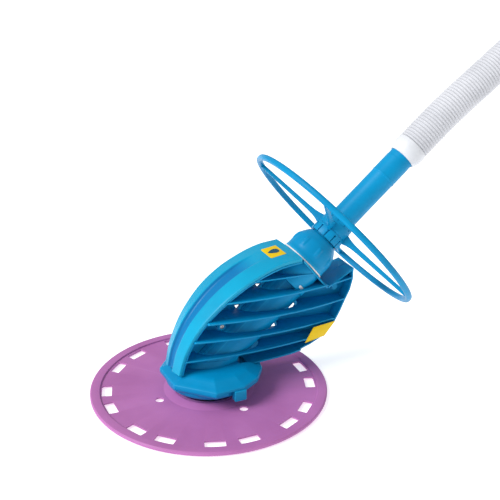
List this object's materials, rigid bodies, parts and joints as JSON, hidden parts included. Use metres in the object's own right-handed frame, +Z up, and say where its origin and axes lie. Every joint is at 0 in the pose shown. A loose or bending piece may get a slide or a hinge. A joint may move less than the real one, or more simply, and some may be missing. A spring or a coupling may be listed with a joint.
{
  "type": "pool cleaner",
  "caption": "Suction-side pool cleaner: flexible slotted disc, octagonal foot, ribbed two-part body, inclined swivel pipe with deflector wheel, and a stub of corrugated hose.",
  "frame": {"origin": "on the floor plane, under the middle of the length of the cleaner without its hose", "axes": "+Z up, +X backwards towards the hose, +Y to the right of a cleaner that travels along -X"},
  "size_m": [0.8104, 0.345, 0.5556],
  "materials": {
    "blue_plastic": "satin moulded plastic",
    "purple_elastomer": "matte flexible elastomer",
    "black_rubber": "matte",
    "steel": "satin",
    "white_plastic": "satin",
    "white_hose": "satin corrugated",
    "yellow_trim": "smooth printed film",
    "grey_foam": "closed-cell foam"
  },
  "bodies": {
    "body": {"foot_base": "blue_plastic", "foot_pad": "black_rubber", "foot_clip_left": "blue_plastic", "foot_clip_right": "blue_plastic", "disc_retaining_ring": "purple_elastomer", "ballast_ring": "steel", "body_shell_left": "blue_plastic", "body_shell_right": "blue_plastic", "front_bumper": "blue_plastic", "float_strip": "grey_foam", "body_screw_1": "steel", "body_screw_2": "steel", "body_screw_3": "steel", "body_screw_4": "steel", "top_label": "yellow_trim", "side_label_left": "yellow_trim", "side_label_right": "yellow_trim", "throat_housing": "blue_plastic", "housing_pin": "white_plastic", "diaphragm_seat_ring": "yellow_trim", "diaphragm": "black_rubber", "compression_ring": "white_plastic", "inner_extension_pipe": "white_plastic", "swivel_bearing": "white_plastic", "nut_seal_ring": "white_plastic"},
    "disc": {"seal_disc": "purple_elastomer"},
    "nut": {"hand_nut": "blue_plastic"},
    "hose_pipe": {"outer_extension_pipe": "blue_plastic", "wheel_sleeve": "blue_plastic", "hose_cuff": "white_plastic", "hose": "white_hose", "hose_end_cuff": "white_plastic"},
    "wheel": {"deflector_wheel": "blue_plastic"}
  },
  "joints": [
    {"name": "disc_spin", "type": "hinge", "parent": "body", "child": "disc", "pos_m": [-0.08569, 0, 0.005], "axis": [0, 0, 1], "continuous": true},
    {"name": "nut_turn", "type": "hinge", "parent": "body", "child": "nut", "pos_m": [0.0667, 0, 0.17693], "axis": [0.7716, 0, 0.6361], "range_deg": [0, 60]},
    {"name": "pipe_swivel", "type": "hinge", "parent": "body", "child": "hose_pipe", "pos_m": [0.04703, 0, 0.16071], "axis": [0.7716, 0, 0.6361], "continuous": true},
    {"name": "wheel_spin", "type": "hinge", "parent": "hose_pipe", "child": "wheel", "pos_m": [0.1157, 0, 0.21732], "axis": [0.7716, 0, 0.6361], "continuous": true}
  ]
}
